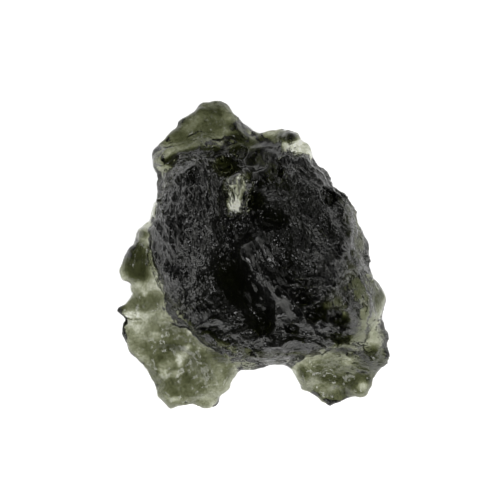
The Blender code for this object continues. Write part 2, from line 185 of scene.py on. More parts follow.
# Crests on the face: height, width to the left and to the right of the line, then the line itself
CRESTS = {
    "edge of the brow": (0.32, 0.3, 0.14, [
        (-8.6, 8.5), (-7.9, 9.1), (-7.0, 9.5), (-6.2, 9.9), (-5.4, 10.2), (-4.7, 9.9), (-4.2, 9.4)]),
    "second arc": (0.25, 0.2, 0.14, [(-8.4, 8.0), (-7.6, 8.2), (-6.8, 8.5), (-6.0, 8.9)]),
    "third arc": (0.2, 0.15, 0.15, [(-5.4, 8.9), (-4.7, 8.7), (-4.2, 8.9), (-3.6, 9.3)]),
    "lip of the cave": (0.4, 0.22, 0.14, [
        (-5.6, 7.7), (-4.9, 8.1), (-4.1, 8.2), (-3.6, 8.2), (-3.4, 8.6), (-2.9, 8.7), (-2.6, 9.0),
        (-2.0, 8.9), (-1.5, 8.6), (-1.0, 8.0)]),
    "shelf over the cave": (0.3, 0.16, 0.16, [
        (-2.4, 9.3), (-1.9, 9.6), (-1.3, 9.8), (-0.8, 9.6), (-0.2, 9.4)]),
    "strut in the cave": (0.2, 0.1, 0.1, [(-3.9, 7.1), (-3.6, 7.6), (-3.4, 7.9)]),
    "flute on the crown": (0.2, 0.12, 0.12, [(-7.2, 7.7), (-6.9, 6.7), (-6.5, 5.9)]),
    "flute left of the crown": (0.2, 0.12, 0.12, [(-7.6, 7.3), (-7.8, 6.6), (-8.0, 5.9)]),
    "flute by the middle": (0.2, 0.12, 0.12, [(-6.0, 7.5), (-5.6, 6.6), (-5.4, 5.8)]),
    "first flute of the slope": (0.2, 0.12, 0.12, [(-5.0, 7.6), (-4.7, 6.8), (-4.8, 6.0), (-4.5, 5.0)]),
    "second flute of the slope": (0.2, 0.12, 0.12, [
        (-4.3, 7.6), (-4.1, 6.8), (-4.2, 5.8), (-3.9, 4.6), (-3.6, 3.6)]),
    "third flute of the slope": (0.2, 0.12, 0.12, [
        (-3.7, 6.9), (-3.6, 5.9), (-3.4, 4.9), (-3.2, 3.8), (-3.1, 2.8)]),
    "left shoulder line": (0.25, 0.16, 0.12, [
        (-8.6, 5.4), (-8.3, 4.6), (-8.0, 3.9), (-7.6, 3.2), (-7.4, 2.3)]),
    "left flank line": (0.28, 0.16, 0.12, [(-8.8, 3.0), (-8.5, 2.3), (-8.2, 1.8), (-7.8, 1.2)]),
    "foot of the left flank": (0.3, 0.18, 0.14, [
        (-8.9, 1.2), (-8.8, 0.4), (-8.5, -0.4), (-8.0, -0.9), (-7.7, -1.5), (-7.1, -1.6)]),
    "fang, left": (0.3, 0.14, 0.12, [(-7.2, -1.9), (-7.3, -3.0), (-7.4, -4.0)]),
    "fang, middle": (0.35, 0.14, 0.12, [(-7.0, -1.5), (-6.9, -2.6), (-6.8, -3.6), (-6.8, -4.8)]),
    "fang, right": (0.35, 0.14, 0.12, [(-6.7, -1.9), (-6.4, -3.0), (-6.3, -4.2)]),
    "rim of the flap": (0.35, 0.25, 0.1, [
        (-1.5, 7.6), (-0.7, 7.5), (-0.3, 7.0), (-0.2, 6.6), (-0.4, 6.0), (-0.8, 5.4), (-1.0, 4.9),
        (-1.0, 4.4), (-0.7, 3.9), (0.0, 3.7), (0.5, 3.6)]),
    "left fold of the flap": (0.3, 0.14, 0.12, [(-2.9, 6.9), (-2.5, 6.4), (-2.1, 5.8)]),
    "right fold of the flap": (0.25, 0.12, 0.12, [(-2.3, 7.0), (-2.0, 6.3), (-1.8, 5.8)]),
    "ribbon under the flap": (0.3, 0.14, 0.12, [(-0.9, 3.7), (-1.6, 3.0), (-1.8, 2.4), (-1.7, 1.8)]),
    "star, left arm": (0.28, 0.13, 0.12, [(-3.2, 2.9), (-2.9, 2.1), (-2.3, 2.5), (-1.9, 2.9)]),
    "star, lower arm": (0.28, 0.13, 0.12, [(-2.9, 2.1), (-2.2, 1.5), (-1.5, 1.2)]),
    "fin": (0.45, 0.55, 0.12, [
        (-1.5, 1.1), (-1.0, 0.4), (-0.8, -0.1), (-0.4, -0.6), (0.0, -1.3), (0.5, -1.8), (1.0, -2.3),
        (1.5, -2.8), (1.8, -3.4)]),
    "flute by the fin": (0.22, 0.14, 0.12, [(-0.3, 1.2), (0.0, 0.4), (0.3, -0.4), (0.7, -1.1)]),
    "middle flute by the fin": (0.25, 0.14, 0.12, [
        (0.1, 1.4), (0.4, 0.5), (0.6, -0.1), (1.0, -0.7), (1.3, -1.2)]),
    "outer flute by the fin": (0.28, 0.14, 0.12, [
        (0.9, 1.0), (1.3, 0.3), (1.7, -0.2), (2.1, -0.8), (2.4, -1.1)]),
    "arc below the hollow": (0.25, 0.12, 0.1, [(0.2, 2.05), (0.6, 1.95), (0.95, 1.7)]),
    "great diagonal": (0.45, 0.3, 0.3, [
        (2.1, -2.9), (2.7, -3.4), (3.1, -4.0), (3.5, -4.6), (4.0, -5.1), (4.5, -6.0), (4.9, -6.4),
        (5.4, -6.8)]),
    "branch of the diagonal": (0.35, 0.25, 0.25, [(4.0, -4.9), (4.8, -4.5), (5.5, -4.1), (6.1, -3.9)]),
    "lower branch": (0.3, 0.2, 0.14, [(4.2, -5.0), (5.0, -5.1), (5.6, -5.4), (6.0, -5.8)]),
    "first step": (0.39, 0.2, 0.12, [(2.2, -1.5), (2.7, -1.3), (3.3, -1.3), (4.0, -1.6), (4.7, -1.4)]),
    "second step": (0.39, 0.2, 0.12, [(3.4, -2.2), (4.2, -2.0), (5.3, -2.1), (6.2, -2.1), (6.7, -2.4)]),
    "third step": (0.42, 0.22, 0.12, [
        (3.0, -2.8), (4.0, -2.6), (5.0, -2.8), (6.0, -2.7), (6.9, -2.6), (7.3, -3.1)]),
    "fourth step": (0.35, 0.2, 0.12, [(3.2, -3.5), (4.2, -3.3), (5.0, -3.4), (5.8, -3.6)]),
    "backbone of the right": (0.35, 0.2, 0.14, [
        (5.2, 6.0), (5.7, 5.4), (5.9, 4.7), (6.2, 4.2), (6.5, 3.6), (6.9, 2.8), (7.3, 2.1), (7.8, 1.4),
        (8.0, 0.9)]),
    "rib beside the backbone": (0.2, 0.12, 0.12, [(5.6, 4.5), (6.1, 3.8), (6.6, 3.2)]),
    "inner rib": (0.3, 0.16, 0.14, [
        (3.8, 4.1), (4.3, 3.4), (4.7, 2.8), (5.2, 2.3), (6.0, 1.7), (6.6, 1.1), (7.2, 0.1), (7.7, -0.5),
        (8.2, -1.1)]),
    "rim rib": (0.28, 0.16, 0.14, [(7.4, 5.7), (8.1, 5.1), (8.2, 4.6), (7.9, 4.0), (7.9, 3.2)]),
    "knot of the rim": (0.22, 0.14, 0.12, [(8.0, 1.3), (7.7, 0.7), (7.9, -0.1)]),
    "spur to the rim": (0.22, 0.14, 0.12, [(8.2, 0.6), (8.8, 0.3), (9.4, -0.2)]),
    "rim rib below the knot": (0.25, 0.14, 0.12, [(8.5, 0.3), (8.9, -0.6), (9.2, -1.3)]),
    "long rim rib": (0.32, 0.18, 0.14, [
        (9.1, -1.5), (9.3, -2.3), (9.6, -2.9), (10.1, -3.7), (10.2, -4.8), (10.0, -5.7)]),
    "outer rim rib": (0.22, 0.14, 0.12, [(9.8, -1.2), (10.2, -2.0), (10.8, -2.8), (11.1, -3.4)]),
    "pale rib": (0.35, 0.18, 0.14, [
        (7.0, -1.0), (7.1, -2.0), (7.2, -2.9), (7.7, -3.9), (8.2, -4.6), (8.8, -5.1), (9.1, -5.7)]),
    "corner rib": (0.3, 0.2, 0.14, [(11.0, -5.4), (10.9, -6.5), (11.1, -7.5), (11.3, -8.6)]),
    "edge of the saddle": (0.3, 0.14, 0.16, [
        (2.9, 9.0), (2.5, 8.3), (2.9, 7.6), (2.9, 6.9), (2.5, 6.2), (2.5, 5.2)]),
    "upper rim line": (0.25, 0.15, 0.12, [(6.3, 7.4), (6.8, 6.7), (7.4, 6.0)]),
    "line under the cap": (0.2, 0.12, 0.12, [(5.2, 7.6), (5.5, 6.9), (6.0, 6.3)]),
    "left end of the ledges": (0.42, 0.2, 0.14, [(-7.0, -5.6), (-6.2, -5.7), (-5.6, -6.1), (-5.0, -6.4)]),
    "top ledge": (0.56, 0.14, 0.28, [
        (-5.3, -6.8), (-4.9, -6.3), (-4.2, -6.1), (-3.2, -5.8), (-2.6, -5.9), (-1.9, -6.1), (-1.4, -6.5)]),
    "lowest ledge on the left": (0.56, 0.14, 0.28, [
        (-4.9, -7.1), (-4.2, -7.2), (-3.6, -7.4), (-3.2, -7.7), (-2.9, -8.0), (-2.2, -8.1), (-1.6, -8.5),
        (-1.1, -8.9)]),
    "big scallop": (0.59, 0.28, 0.12, [
        (-3.0, -7.5), (-2.4, -7.1), (-1.8, -6.9), (-1.2, -7.0), (-0.8, -7.4), (-0.4, -7.8)]),
    "scallop above it": (0.42, 0.22, 0.12, [
        (-1.9, -6.6), (-1.2, -6.8), (-0.5, -6.7), (0.1, -6.9), (0.4, -7.3)]),
    "scallop beside it": (0.42, 0.22, 0.12, [
        (-0.6, -7.2), (0.0, -7.8), (0.5, -7.5), (1.1, -7.4), (1.6, -7.8)]),
    "ledge over the cut": (0.45, 0.2, 0.12, [
        (-1.7, -7.8), (-1.0, -7.7), (-0.4, -8.1), (0.1, -8.5), (0.4, -8.9)]),
    "long ledge": (0.49, 0.22, 0.14, [
        (0.6, -8.3), (1.4, -8.1), (2.4, -8.1), (3.0, -7.7), (4.0, -7.6), (5.0, -7.7), (5.9, -8.0),
        (7.0, -8.0),
        (8.0, -8.0), (8.8, -7.9), (9.3, -8.3), (9.9, -8.6)]),
    "scallop by the diagonal": (0.42, 0.2, 0.12, [(2.6, -6.3), (3.2, -5.9), (4.0, -5.9), (4.5, -6.2)]),
    "low ledge": (0.42, 0.2, 0.12, [
        (2.8, -6.9), (3.5, -7.0), (4.4, -6.9), (5.2, -7.0), (5.9, -7.2), (6.5, -7.7)]),
    "ledge of the oval pit": (0.50, 0.22, 0.12, [
        (5.2, -6.3), (6.0, -6.0), (6.8, -6.1), (7.3, -6.5), (7.6, -6.8), (8.3, -6.9), (8.9, -7.1)]),
    "step above the arch": (0.35, 0.2, 0.12, [
        (1.6, -8.8), (2.4, -8.7), (3.2, -8.8), (4.2, -8.6), (5.2, -8.7)]),
    "rim of the arch": (0.25, 0.2, 0.12, [(-1.0, -9.2), (0.0, -9.0), (1.0, -9.1), (2.0, -9.2)]),
    "seam in the right lobe": (0.2, 0.14, 0.12, [(6.0, -8.5), (6.2, -9.2), (6.4, -10.0)]),
    "seam in the left lobe": (0.22, 0.14, 0.12, [(-9.5, -6.0), (-8.6, -5.5), (-8.0, -5.5), (-7.4, -5.8)]),
    "second seam": (0.22, 0.14, 0.12, [(-8.8, -6.1), (-7.7, -5.9), (-6.9, -6.1), (-6.0, -6.5)]),
    "curl in the left lobe": (0.2, 0.12, 0.12, [(-7.3, -7.6), (-6.6, -7.2), (-6.2, -7.3), (-5.9, -7.8)]),
    "scratch in the left lobe": (0.15, 0.1, 0.1, [(-10.4, -8.3), (-9.6, -8.5)]),
}

# Hollows in the face: x, y, half width, half length, turn in degrees, depth
HOLLOWS = {
    "cave, left": (-3.1, 8.3, 0.38, 0.34, 0, 0.7),
    "cave, right": (-2.6, 7.8, 0.5, 0.34, 0, 0.8),
    "slot under the shelf": (-1.9, 9.25, 0.16, 0.45, -50, 0.35),
    "shadow at the lobe": (-1.5, 10.5, 0.3, 0.75, 68, 0.45),
    "hole beside the saddle": (2.5, 7.2, 0.3, 0.32, 0, 0.6),
    "oval pit": (7.8, -7.4, 0.42, 0.8, 90, 0.6),
    "small oval pit": (6.6, -7.2, 0.22, 0.42, 80, 0.4),
    "cut above the arch": (-0.3, -8.5, 0.24, 0.75, 52, 0.4),
    "cup under the big scallop": (-2.5, -7.6, 0.28, 0.6, 80, 0.4),
    "cup by the diagonal": (3.4, -6.6, 0.36, 0.55, 90, 0.45),
    "cell of the branch": (5.5, -4.7, 0.35, 0.55, 100, 0.4),
    "cell left of it": (3.8, -4.4, 0.28, 0.38, 60, 0.3),
    "cell above it": (4.5, -4.1, 0.3, 0.42, 60, 0.3),
    "dark cell": (6.3, -4.4, 0.4, 0.5, 0, 0.4),
    "great dark cell": (7.4, -5.5, 0.7, 0.8, 20, 0.5),
    "low cell": (5.1, -5.5, 0.28, 0.55, 80, 0.3),
    "top cell": (-4.0, -6.7, 0.3, 0.75, 95, 0.35),
    "centre of the ring": (8.6, -9.0, 0.22, 0.22, 0, 0.3),
    "cell by the corner": (10.4, -8.2, 0.5, 0.6, 0, 0.3),
    "cell on the crown": (-7.5, 5.9, 0.55, 0.4, 0, 0.3),
    "second cell on the crown": (-5.7, 6.7, 0.4, 0.6, 10, 0.3),
    "cell on the right": (6.6, 5.2, 0.6, 0.9, 25, 0.5),
    "dark spot below the knob": (0.9, -6.6, 0.9, 0.5, 20, 0.35),
}

# Rough patches, where small grains catch the light: x, y, half width, half length, turn in degrees
GRAINY = {
    "on the left dome": (-5.3, 0.6, 1.1, 0.7, 0),
    "upper left dome": (-4.5, 3.3, 0.9, 1.3, 15),
    "low on the left dome": (-5.5, -2.4, 1.0, 0.45, 0),
    "beside the groove": (-2.3, -4.8, 1.8, 0.8, 10),
    "right body": (5.8, 0.3, 1.7, 1.3, 20),
    "upper right body": (4.6, 5.6, 1.4, 1.4, 0),
    "hollow": (-0.2, 2.6, 1.1, 0.8, 0),
    "low on the right": (8.4, -3.2, 0.9, 0.9, 0),
    "left flank": (-6.0, 4.4, 1.2, 0.8, 0),
    "top of the ridge": (6.2, 3.0, 1.9, 2.6, 20),
    "inner side of the ridge": (3.4, 0.2, 1.2, 2.6, 25),
    "inner side of the dome": (-3.0, 0.4, 1.1, 2.8, 0),
    "foot of the hollow": (0.9, -1.6, 1.2, 1.4, 20),
    "upper end of the ridge": (3.0, 4.4, 1.2, 1.4, 0),
}

# How thick the glass is in the lobes and at the rim: x, y, half width, half length, turn, mm
LOBE_GLASS = {
    "lower left lobe": (-7.0, -10.0, 3.9, 3.5, 0, 1.9),
    "left lobe": (-10.3, -1.5, 2.0, 3.8, 10, 2.2),
    "lower right lobe": (7.6, -11.2, 3.2, 1.7, 0, 2.0),
    "top lobe": (-5.0, 11.6, 3.2, 2.0, 20, 2.2),
    "cap": (3.9, 9.6, 2.0, 1.1, 0, 1.0),
    "pale edge": (1.7, 10.8, 1.3, 0.8, 0, 1.2),
    "white band": (-10.5, -5.7, 1.3, 1.1, -8, 0.9),
    "pale edge spot": (9.8, -11.8, 1.2, 1.2, 0, 1.5),
    "left edge spot": (-8.9, 6.5, 0.8, 1.0, 0, 1.2),
}

# Places away from the rim where a gentle hollow in the back leaves little glass, in the same order
THIN_GLASS = {
    "flap, lower": (-1.65, 4.4, 1.9, 1.5, -15, 0.85),
    "flap, upper": (-1.3, 6.3, 1.8, 2.0, -10, 1.4),
    "pale bend": (-9.9, -3.1, 1.7, 1.5, -30, 1.5),
    "brightest patch": (-6.8, -9.6, 1.9, 2.1, 5, 1.2),
    "pale root": (8.7, -9.6, 1.8, 1.5, 0, 1.6),
}

# How deep the thick body looks, in the same order and with a crisper border
BODY_LOOK = {
    "body": (-0.2, 1.4, 8.3, 8.2, 0, 7.0),
    "band": (1.5, -6.2, 7.2, 2.3, -4, 6.0),
    "brow": (-5.4, 8.8, 2.6, 0.8, 12, 3.8),
}

# How deep the rest of the glass looks, paler where less, in the same order
DEPTH_LOOK = {
    # The top lobe
    "top lobe": (-5.0, 11.6, 3.4, 2.0, 20, 2.1),
    "top lobe, left edge": (-8.0, 10.2, 0.7, 0.9, -40, 1.4),
    "top lobe, left foot": (-8.7, 8.8, 0.35, 0.8, 0, 1.3),
    "top lobe, tip": (-3.4, 13.4, 1.2, 0.6, 20, 2.0),
    "top lobe, dark band": (-3.6, 12.8, 1.1, 0.3, -15, 2.5),
    "top lobe, left bump": (-6.4, 11.8, 0.5, 0.5, 0, 2.2),
    "top lobe, pale middle": (-5.2, 12.1, 0.7, 0.4, 20, 1.5),
    "top lobe, second pale": (-5.9, 11.4, 0.6, 0.4, 20, 1.6),
    "top lobe, pale right": (-2.2, 12.1, 0.4, 0.7, 30, 1.3),
    "top lobe, green right": (-1.5, 11.4, 1.0, 0.5, -20, 2.4),
    "top lobe, pale left": (-7.8, 9.8, 0.6, 0.4, 0, 1.6),
    # Painted shadow: this entry darkens the tint in the hollow where the top lobe meets the body
    "shadow at the lobe": (-1.4, 10.5, 0.9, 0.4, -10, 3.6),
    "pale foot by the saddle": (-0.2, 9.6, 0.4, 0.5, 0, 2.2),
    # The left lobe
    "left lobe, upper": (-10.5, -0.6, 1.2, 2.0, 10, 2.7),
    "left lobe, ridge": (-10.2, 1.8, 0.8, 0.3, 0, 2.2),
    "left lobe, lower": (-9.8, -4.2, 1.9, 1.0, 0, 1.8),
    "left lobe, pale bend": (-10.2, -2.9, 0.6, 0.4, -30, 0.9),
    "left lobe, pale spur": (-9.75, -3.4, 0.3, 0.35, -30, 0.9),
    "left lobe, green": (-9.5, -4.4, 1.1, 0.4, 0, 1.8),
    "left lobe, root": (-8.1, -4.7, 0.4, 0.5, 0, 1.1),
    "left knob": (-11.9, -4.8, 0.5, 0.5, 0, 2.3),
    "white band, upper": (-10.5, -5.4, 1.0, 0.24, -8, 0.45),
    "white band, lower": (-11.2, -6.05, 0.6, 0.3, -15, 0.45),
    "white band, right": (-10.3, -6.15, 0.5, 0.22, 0, 0.9),
    "crack": (-10.9, -5.78, 0.9, 0.09, -2, 2.0),
    # The lower left lobe
    "lower left lobe": (-7.0, -10.0, 4.2, 3.8, 0, 1.9),
    "outer edge": (-11.0, -7.5, 0.5, 0.9, 20, 1.3),
    "second outer edge": (-10.0, -9.2, 0.5, 0.9, 40, 1.2),
    "pale green": (-8.8, -7.3, 0.5, 0.45, 0, 1.0),
    "green root": (-7.5, -6.7, 1.0, 0.45, 0, 1.9),
    "pale seam": (-9.1, -5.9, 0.3, 0.5, -30, 1.2),
    "bright triangle": (-5.7, -6.9, 0.3, 0.3, 20, 0.8),
    "grey shade": (-7.2, -8.35, 0.9, 0.35, 0, 2.4),
    "second grey shade": (-8.9, -8.9, 0.6, 0.3, 0, 1.8),
    "pale spot": (-5.85, -8.3, 0.3, 0.25, 0, 0.7),
    "pale foot": (-4.8, -8.4, 0.5, 0.35, 0, 1.1),
    "brightest patch": (-6.7, -9.5, 0.32, 0.6, 5, 0.5),
    "bright side": (-6.25, -9.0, 0.4, 0.25, -30, 0.9),
    "whitish zone": (-8.1, -10.5, 0.4, 0.8, 15, 0.95),
    "whitish foot": (-7.1, -10.75, 0.6, 0.3, 10, 1.05),
    "whitish middle": (-7.6, -9.8, 0.5, 0.4, 0, 1.2),
    "green middle": (-4.9, -9.6, 0.7, 0.6, 0, 2.0),
    "green right": (-3.1, -9.1, 0.9, 0.5, -35, 2.3),
    "green lower": (-3.9, -10.9, 0.4, 0.4, 0, 2.0),
    "pale right edge": (-2.4, -10.6, 0.5, 0.8, 0, 1.6),
    "small dark fleck": (-6.15, -10.85, 0.25, 0.1, 0, 2.2),
    "second dark fleck": (-5.9, -11.3, 0.4, 0.15, 0, 2.0),
    "grey foot": (-5.3, -12.0, 0.8, 0.6, 0, 1.8),
    "dark foot": (-7.0, -12.45, 0.4, 0.25, 0, 2.1),
    "pale toe": (-7.1, -13.0, 0.4, 0.2, 0, 0.8),
    "second pale toe": (-4.5, -13.4, 0.5, 0.4, 0, 1.5),
    "pale heel": (-7.8, -12.8, 0.3, 0.3, 0, 1.2),
    # The lower right lobe
    "lower right lobe": (7.6, -11.4, 3.4, 2.2, 0, 2.05),
    "pale root": (8.6, -9.6, 0.55, 0.35, 0, 0.75),
    "pale root, right": (9.3, -9.7, 0.25, 0.3, 0, 0.9),
    "ring middle": (8.6, -9.05, 0.2, 0.2, 0, 2.2),
    "green band": (7.0, -11.1, 1.1, 0.22, 0, 2.4),
    "pale green slope": (5.7, -11.7, 1.2, 0.5, -25, 1.35),
    "pale green middle": (7.0, -12.0, 0.8, 0.4, 0, 1.4),
    "dark cloud": (8.9, -11.6, 0.6, 0.4, 30, 2.6),
    "second dark cloud": (8.3, -12.3, 0.4, 0.3, 0, 2.4),
    "pale edge spot": (9.8, -11.8, 0.35, 0.4, 0, 0.8),
    "grey toe": (7.2, -12.9, 0.7, 0.3, 0, 2.0),
    "dark edge": (10.3, -11.3, 0.25, 0.3, 0, 2.6),
    "green by the arch": (4.4, -10.5, 0.4, 0.5, 30, 2.3),
    "dark heel": (3.2, -10.1, 0.3, 0.2, 0, 2.6),
    "root of the lobe": (7.8, -8.6, 0.9, 0.35, 0, 2.6),
    "right corner": (10.6, -9.6, 1.5, 1.3, 0, 2.9),
    "right knob": (11.9, -8.8, 0.3, 0.4, 0, 2.2),
    "right rim": (11.7, -6.6, 0.3, 0.9, 0, 1.5),
    "right rim, upper": (11.0, -3.4, 0.6, 1.6, 0, 2.3),
    # Pale places on the body, where a pit in the back comes close
    "saddle": (1.1, 8.2, 1.5, 2.3, 0, 3.3),
    "flap, upper": (-0.95, 6.6, 0.9, 1.05, 0, 1.0),
    "flap, left streak": (-2.4, 6.2, 0.4, 1.0, -15, 0.9),
    "flap, middle": (-1.7, 5.6, 0.9, 1.0, 10, 0.85),
    "flap, lower": (-1.65, 4.35, 1.1, 0.9, -15, 0.42),
    "flap, spur": (-0.6, 3.9, 0.5, 0.2, -20, 1.1),
    "pale edge": (1.7, 10.95, 0.9, 0.25, 0, 0.9),
    "knob by the cap": (3.0, 10.6, 0.9, 0.5, 0, 3.2),
    "cap, left": (3.35, 9.45, 0.65, 0.62, 0, 0.5),
    "cap, right": (4.5, 9.45, 0.62, 0.6, 0, 0.5),
    "left edge spot": (-8.9, 6.5, 0.35, 0.45, 0, 0.6),
    "left wall": (-8.2, 3.8, 0.3, 0.8, 0, 1.5),
    "right rim green": (9.2, 1.6, 0.3, 0.4, 0, 2.0),
}


def smoothstep(value, start, end):
    """0 below the start, 1 above the end, and a soft rise between them."""
    share = np.clip((value - start) / (end - start), 0.0, 1.0)
    return share * share * (3.0 - 2.0 * share)


def points_of(mesh):
    """The mesh's points in millimetres."""
    flat = np.empty(len(mesh.vertices) * 3, np.float32)
    mesh.vertices.foreach_get("co", flat)
    return flat.reshape(-1, 3) / MM


def normals_of(mesh):
    flat = np.empty(len(mesh.vertices) * 3, np.float32)
    mesh.vertices.foreach_get("normal", flat)
    return flat.reshape(-1, 3)


def set_points(mesh, points):
    mesh.vertices.foreach_set("co", (points * MM).astype(np.float32).ravel())
    mesh.update()


def store(mesh, name, values):
    """Writes one number for each point into the mesh, where the node trees read it."""
    layer = mesh.attributes.new(name, "FLOAT", "POINT")
    layer.data.foreach_set("value", values.astype(np.float32))


def apply_modifiers(obj):
    """Swaps the object's mesh for what its modifiers make of it."""
    graph = bpy.context.evaluated_depsgraph_get()
    made = bpy.data.meshes.new_from_object(obj.evaluated_get(graph))
    obj.modifiers.clear()
    obj.data = made


def add_smoothing(obj, name, rounds):
    smooth = obj.modifiers.new(name, "SMOOTH")
    smooth.factor = 0.5
    smooth.iterations = rounds
    return smooth


def stone_skin(node):
    """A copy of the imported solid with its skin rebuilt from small, even faces."""
    mesh = node.data.copy()
    loose = bmesh.new()
    loose.from_mesh(mesh)
    bmesh.ops.remove_doubles(loose, verts=loose.verts, dist=WELD_DISTANCE * MM)
    loose.to_mesh(mesh)
    loose.free()
    stone = bpy.data.objects.new("stone", mesh)
    bpy.context.scene.collection.objects.link(stone)
    remesh = stone.modifiers.new("fine skin", "REMESH")
    remesh.mode = "VOXEL"
    remesh.voxel_size = FINE_VOXEL * MM
    add_smoothing(stone, "smooth", SKIN_ROUNDS)
    apply_modifiers(stone)
    return stone


def oval_weight(points, x, y, half_width, half_length, degrees, softness):
    """1 inside an oval seen from above and 0 outside it, with a soft border."""
    angle = math.radians(degrees)
    dx, dy = points[:, 0] - x, points[:, 1] - y
    across = dx * math.cos(angle) + dy * math.sin(angle)
    along = dy * math.cos(angle) - dx * math.sin(angle)
    reach = np.hypot(across / half_width, along / half_length)
    return 1.0 - smoothstep(reach, 1.0 - softness, 1.0 + softness)


def beside(points, line):
    """Distance to a line seen from above, its side (1 is right) and how full the line is there."""
    nearest = np.full(len(points), np.inf)
    side = np.zeros(len(points))
    fullness = np.ones(len(points))
    for i, ((ax, ay), (bx, by)) in enumerate(zip(line, line[1:])):
        dx, dy = bx - ax, by - ay
        length = math.hypot(dx, dy)
        px, py = points[:, 0] - ax, points[:, 1] - ay
        share = np.clip((px * dx + py * dy) / length**2, 0.0, 1.0)
        distance = np.hypot(px - share * dx, py - share * dy)
        across = (px * dy - py * dx) / length
        closer = distance < nearest
        nearest = np.where(closer, distance, nearest)
        side = np.where(closer, across / np.maximum(distance, 1e-6), side)
        along = (i + share) / (len(line) - 1)
        here = np.minimum(1.0, CREST_SWELLING * along * (1.0 - along) + CREST_END)
        fullness = np.where(closer, here, fullness)
    return nearest, side, fullness


def near(points, line, reach):
    """Which points lie in the line's own box, widened by a reach."""
    corners = np.array(line)
    low, high = corners.min(axis=0) - reach, corners.max(axis=0) + reach
    flat = points[:, :2]
    return np.nonzero(((flat > low) & (flat < high)).all(axis=1))[0]


def carve_face(mesh):
    """Raises the crests and sinks the hollows of the face, and leaves the underside alone."""
    points = points_of(mesh)
    normals = normals_of(mesh)
    facing_up = smoothstep(normals[:, 2], *CARVED_SLOPES)
    push = np.zeros(len(points))
    for height, left, right, line in CRESTS.values():
        chosen = near(points, line, CREST_REACH * max(left, right))
        distance, side, fullness = beside(points[chosen], line)
        width = left + (right - left) * (0.5 + 0.5 * side)
        push[chosen] = np.maximum(push[chosen], height * fullness * np.exp(-distance / width))
    for x, y, half_width, half_length, degrees, depth in HOLLOWS.values():
        push -= depth * oval_weight(points, x, y, half_width, half_length, degrees, HOLLOW_BORDER)
    set_points(mesh, points + normals * (push * facing_up)[:, None])


def glass_under(mesh, points, chosen, upwards):
    """How much glass each chosen point has above it or below it, before the next way out."""
    skin = BVHTree.FromPolygons(
        [tuple(point) for point in points], [tuple(polygon.vertices) for polygon in mesh.polygons])
    way = Vector((0.0, 0.0, 1.0 if upwards else -1.0))
    found = np.zeros(len(chosen))
    for i, index in enumerate(chosen):
        start = Vector(points[index]) + way * RAY_START
        spot, normal, _, distance = skin.ray_cast(start, way)
        if spot is not None and normal.dot(way) > 0:
            found[i] = distance + RAY_START
    return found


def blended(places, points, values, softness):
    """The values as the listed places change them, one after another."""
    for x, y, half_width, half_length, degrees, wanted in places.values():
        share = oval_weight(points, x, y, half_width, half_length, degrees, softness)
        values = values + share * (wanted - values)
    return values


def reached(places, points):
    """Which points lie in or near one of the listed places."""
    close = np.zeros(len(points), bool)
    for x, y, half_width, half_length, *_ in places.values():
        reach = GLASS_REACH * max(half_width, half_length)
        close |= np.hypot(points[:, 0] - x, points[:, 1] - y) < reach
    return close


def hollow_back(mesh):
    """Moves the underside up or down until the listed places have their glass."""
    for places, most_thickened in ((LOBE_GLASS, LOBE_THICKENING), (THIN_GLASS, THIN_THICKENING)):
        points = points_of(mesh)
        faces_down = normals_of(mesh)[:, 2] < -LEAST_SLOPE
        below = np.nonzero(reached(places, points) & faces_down)[0]
        found = glass_under(mesh, points, below, True)
        wanted = blended(places, points[below], found, GLASS_BORDER)
        points[below, 2] += np.maximum(found - wanted, -most_thickened * found)
        set_points(mesh, points)


def mark_depth_look(mesh):
    """Writes down the tint that makes each place of the face look as deep as it should."""
    points = points_of(mesh)
    tint = np.ones(len(points))
    face = np.nonzero(normals_of(mesh)[:, 2] > LEAST_SLOPE)[0]
    found = glass_under(mesh, points, face, False)
    look = found * ABSORPTION / LOOK_ABSORPTION
    look = blended(BODY_LOOK, points[face], look, BODY_BORDER)
    look = blended(DEPTH_LOOK, points[face], look, LOOK_BORDER)
    shade = np.exp(-LOOK_ABSORPTION * look + ABSORPTION * found)
    tint[face] = np.where(found > 0.0, np.clip(shade, DARKEST_TINT, 1.0), 1.0)
    store(mesh, "tint", tint)


def underside_of(mesh):
    """1 where the skin faces down and 0 where it faces up."""
    return 1.0 - smoothstep(normals_of(mesh)[:, 2], *UNDERSIDE_SLOPES)


def soften(obj, name, weights, rounds):
    """Smooths the skin where the weights say so, in four levels."""
    group = obj.vertex_groups.new(name=name)
    steps = np.round(weights * 4.0) / 4.0
    for level in (0.25, 0.5, 0.75, 1.0):
        group.add(np.nonzero(steps == level)[0].tolist(), level, "REPLACE")
    add_smoothing(obj, name, rounds).vertex_group = name
    apply_modifiers(obj)
    obj.vertex_groups.clear()


def mark_regions(mesh):
    """Writes down, point by point, how much each kind of relief belongs there."""
    points = points_of(mesh)
    facing_up = smoothstep(normals_of(mesh)[:, 2], *RELIEF_SLOPES)
    dome = oval_weight(points, *DOME, REGION_BORDER)
    ridge = oval_weight(points, *RIDGE, REGION_BORDER)
    band = smoothstep(-points[:, 1], *BAND_TOP) * (1.0 - smoothstep(-points[:, 1], *BAND_FOOT))
    band *= smoothstep(points[:, 0], *BAND_LEFT)
    dome *= 1.0 - band
    ridge *= 1.0 - band
    lobes = np.clip(1.0 - dome - ridge - band, 0.0, 1.0)
    grainy = np.zeros(len(points))
    for place in GRAINY.values():
        grainy = np.maximum(grainy, oval_weight(points, *place, GRAINY_BORDER))
    regions = {"grainy": grainy, "dome": dome, "ridge": ridge, "band": band, "lobes": lobes}
    for name, share in regions.items():
        store(mesh, name, share * facing_up)
    store(mesh, "back", 1.0 - facing_up)


# Node trees

VECTOR = "NodeSocketVector"
NUMBER = "NodeSocketFloat"
GEOMETRY = "NodeSocketGeometry"
MATERIAL = "NodeSocketMaterial"


def add_node(tree, kind, **settings):
    node = tree.nodes.new(kind)
    for name, value in settings.items():
        setattr(node, name, value)
    return node


